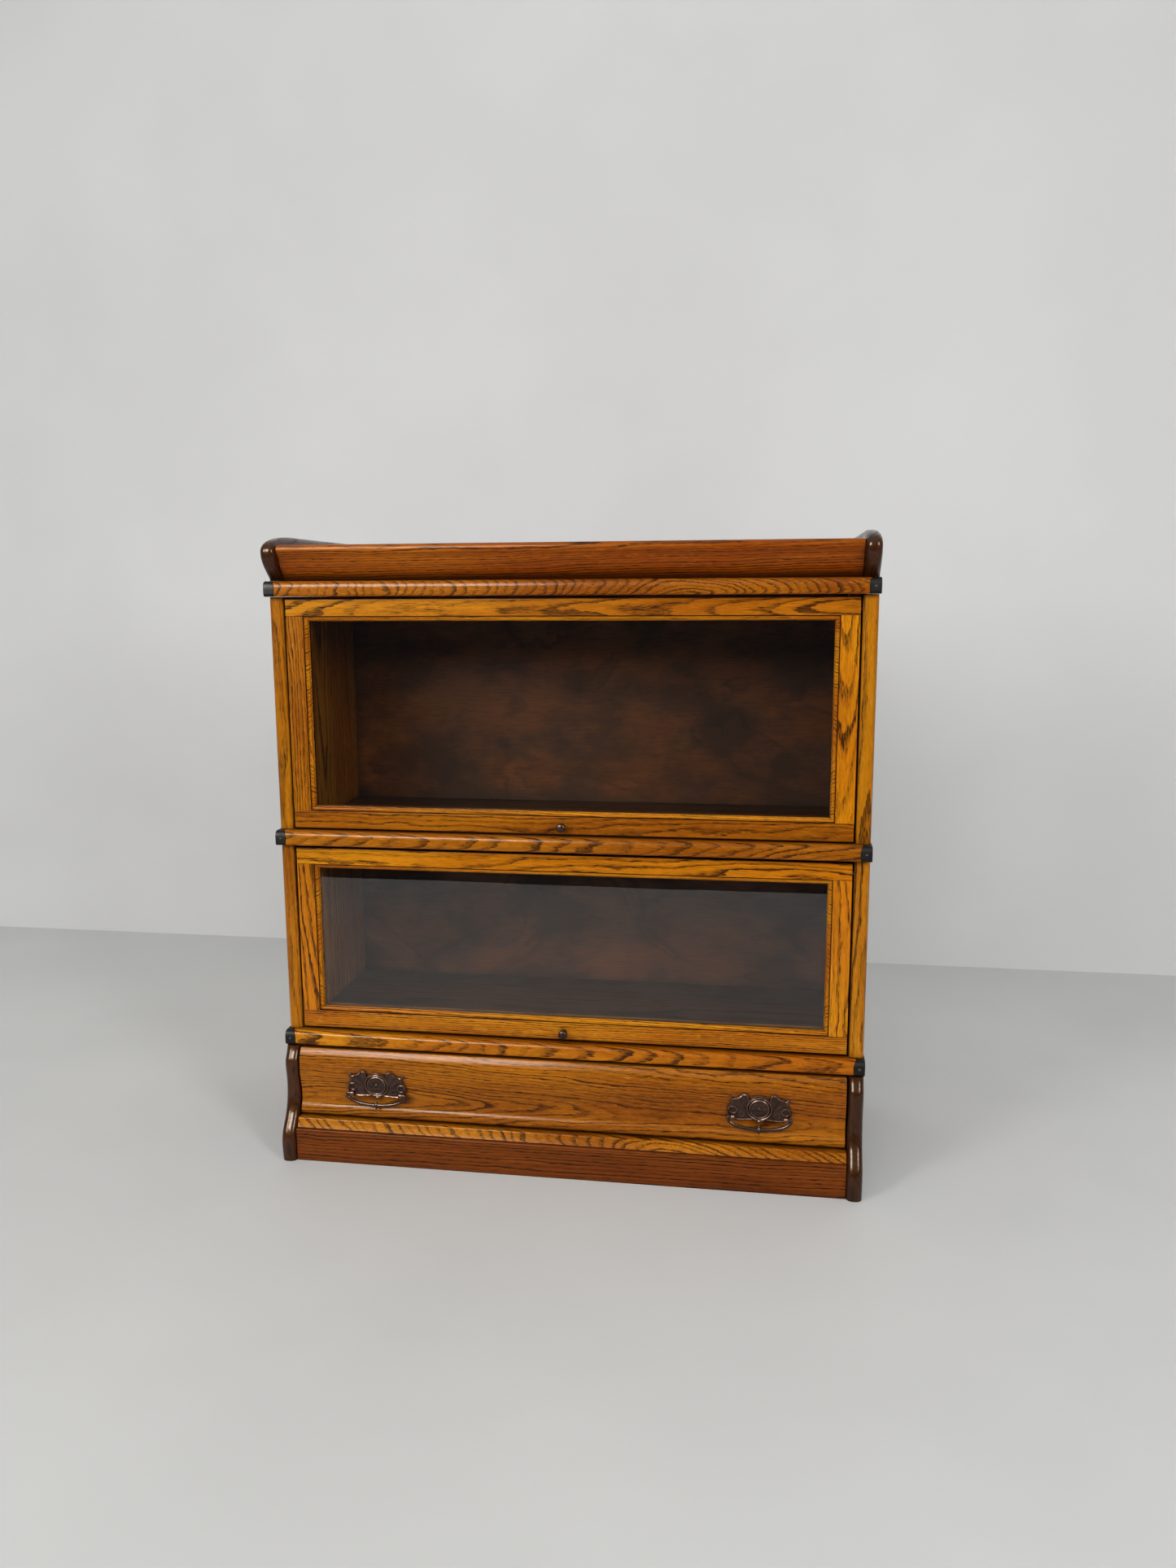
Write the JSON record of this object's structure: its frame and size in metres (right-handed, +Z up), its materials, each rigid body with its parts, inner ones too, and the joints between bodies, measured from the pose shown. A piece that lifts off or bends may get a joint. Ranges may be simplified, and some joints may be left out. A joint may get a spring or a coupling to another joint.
{
  "type": "barrister bookcase",
  "caption": "Stacked oak bookcase with glazed doors that lift and slide back, a wide drawer with bail handles, and a moulded cornice.",
  "frame": {"origin": "centre of the footprint on the floor", "axes": "+X to the right seen from the front, +Y from the front to the back, +Z up"},
  "size_m": [0.866, 0.3506, 0.935],
  "materials": {
    "oak": "golden amber oak, polished shellac",
    "red_oak": "red-brown stained oak, polished shellac",
    "dark_oak": "near-black brown oak, glossy",
    "interior_oak": "dark brown oak, satin",
    "plywood": "dark brown mottled veneer, satin",
    "iron": "blackened iron",
    "steel": "plain steel, dulled",
    "bronze": "antique bronze, dark with worn edges",
    "glass": "clear old window glass"
  },
  "bodies": {
    "case": {"base_end_left": "dark_oak", "base_end_right": "dark_oak", "base_plinth": "red_oak", "base_rail": "oak", "base_back": "plywood", "drawer_runner_left": "interior_oak", "drawer_runner_right": "interior_oak", "bottom_nosing": "oak", "bottom_floor": "interior_oak", "bottom_band_left": "iron", "bottom_band_right": "iron", "lower_side_left": "oak", "lower_side_right": "oak", "lower_back": "plywood", "middle_nosing": "oak", "middle_floor": "interior_oak", "middle_band_left": "iron", "middle_band_right": "iron", "upper_side_left": "oak", "upper_side_right": "oak", "upper_back": "plywood", "top_nosing": "oak", "top_floor": "interior_oak", "top_band_left": "iron", "top_band_right": "iron", "cornice_end_left": "dark_oak", "cornice_end_right": "dark_oak", "cornice_front": "red_oak", "cornice_top": "red_oak", "cornice_back": "interior_oak"},
    "upper_carriage": {"upper_rod": "steel", "upper_glide_left": "steel", "upper_glide_right": "steel"},
    "upper_door": {"upper_door_top_rail": "oak", "upper_door_bottom_rail": "oak", "upper_door_stile_left": "oak", "upper_door_stile_right": "oak", "upper_door_bead": "oak", "upper_door_glass": "glass", "upper_door_knob": "bronze"},
    "lower_carriage": {"lower_rod": "steel", "lower_glide_left": "steel", "lower_glide_right": "steel"},
    "lower_door": {"lower_door_top_rail": "oak", "lower_door_bottom_rail": "oak", "lower_door_stile_left": "oak", "lower_door_stile_right": "oak", "lower_door_bead": "oak", "lower_door_glass": "glass", "lower_door_knob": "bronze"},
    "drawer": {"drawer_front": "oak", "drawer_side_left": "interior_oak", "drawer_side_right": "interior_oak", "drawer_back": "interior_oak", "drawer_bottom": "plywood", "handle_plate_left": "bronze", "handle_plate_right": "bronze"},
    "bail_left": {"bail_left": "bronze"},
    "bail_right": {"bail_right": "bronze"}
  },
  "joints": [
    {"name": "upper_door_slide", "type": "slide", "parent": "case", "child": "upper_carriage", "axis": [0, 1, 0], "range_m": [0, 0.24]},
    {"name": "upper_door_lift", "type": "hinge", "parent": "upper_carriage", "child": "upper_door", "pos_m": [0, -0.1107, 0.8294], "axis": [-1, 0, 0], "range_deg": [0, 90]},
    {"name": "lower_door_slide", "type": "slide", "parent": "case", "child": "lower_carriage", "axis": [0, 1, 0], "range_m": [0, 0.2]},
    {"name": "lower_door_lift", "type": "hinge", "parent": "lower_carriage", "child": "lower_door", "pos_m": [0, -0.1107, 0.4619], "axis": [-1, 0, 0], "range_deg": [0, 90]},
    {"name": "drawer_slide", "type": "slide", "parent": "case", "child": "drawer", "axis": [0, -1, 0], "range_m": [0, 0.23]},
    {"name": "bail_left_swing", "type": "hinge", "parent": "drawer", "child": "bail_left", "pos_m": [-0.286, -0.15241, 0.10675], "axis": [-1, 0, 0], "range_deg": [0, 150]},
    {"name": "bail_right_swing", "type": "hinge", "parent": "drawer", "child": "bail_right", "pos_m": [0.286, -0.15241, 0.10675], "axis": [-1, 0, 0], "range_deg": [0, 150]}
  ]
}
